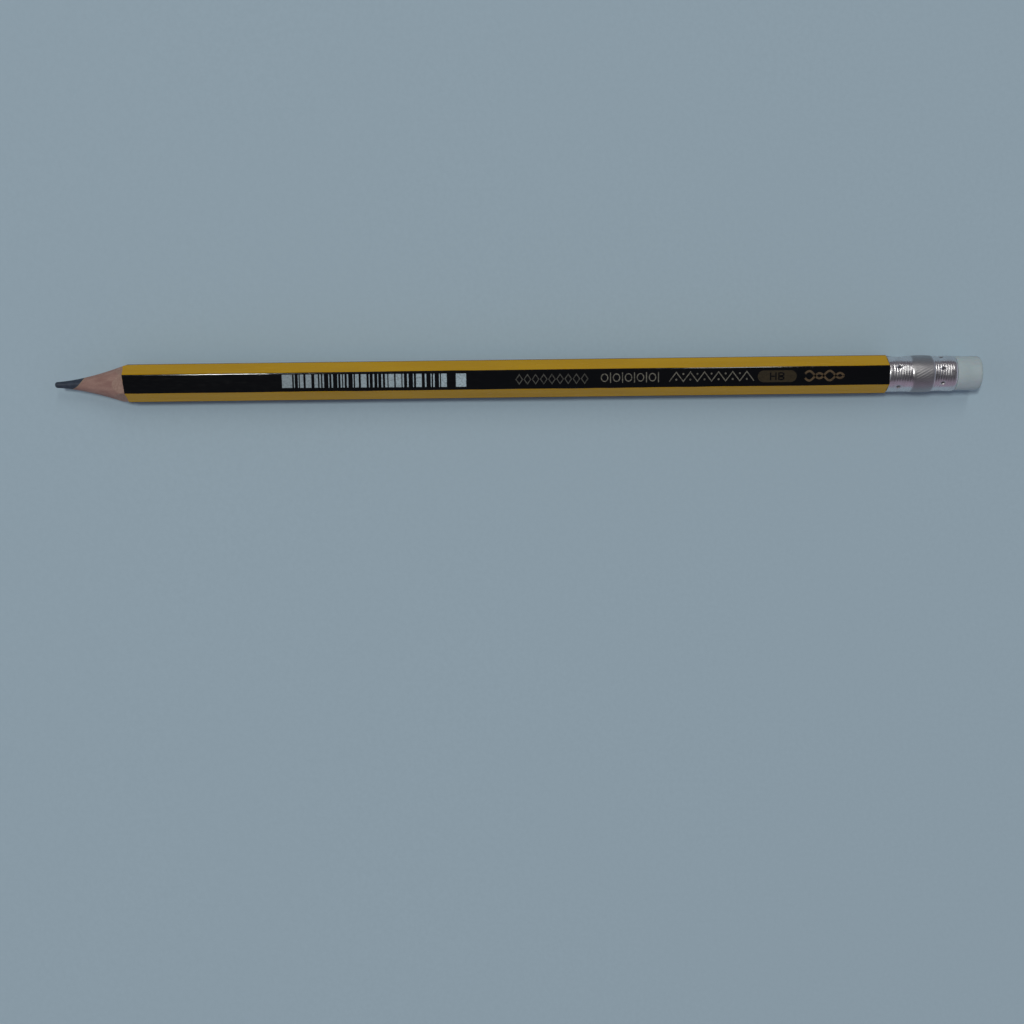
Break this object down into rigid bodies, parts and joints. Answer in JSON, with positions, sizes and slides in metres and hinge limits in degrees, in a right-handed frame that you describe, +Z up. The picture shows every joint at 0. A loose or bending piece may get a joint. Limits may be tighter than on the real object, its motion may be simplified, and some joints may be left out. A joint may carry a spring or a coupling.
{
  "type": "graphite pencil",
  "caption": "Sharpened hexagonal graphite pencil in yellow lacquer with black stripes, a crimped aluminium ferrule and a white eraser.",
  "frame": {"origin": "on the surface the pencil lies on, under the middle of its length", "axes": "+X along the pencil from its point to its eraser, +Y across it, +Z up out of the printed flat"},
  "size_m": [0.191, 0.0078, 0.0076],
  "materials": {
    "graphite": "fired graphite and clay, satin grey-black",
    "glue": "dried wood glue",
    "wood": "bare pinkish softwood, freshly sharpened",
    "yellow_lacquer": "gloss yellow lacquer",
    "black_lacquer": "gloss black lacquer",
    "white_ink": "thin white printing ink",
    "gold_foil": "hot-stamped gold foil",
    "aluminium": "rolled and crimped, satin",
    "white_rubber": "soft matt white"
  },
  "bodies": {
    "root": {"graphite_core": "graphite", "core_glue_sleeve": "glue", "wood_slat_upper": "wood", "wood_slat_lower": "wood", "glue_line_front": "glue", "glue_line_rear": "glue", "yellow_lacquer_coat": "yellow_lacquer", "black_stripe_top": "black_lacquer", "black_stripe_front": "black_lacquer", "black_stripe_rear": "black_lacquer", "ink_bar_code": "white_ink", "foil_lozenges": "gold_foil", "foil_frieze": "gold_foil", "foil_grade_badge": "gold_foil", "foil_wave": "gold_foil", "ferrule": "aluminium", "eraser": "white_rubber"}
  },
  "joints": []
}
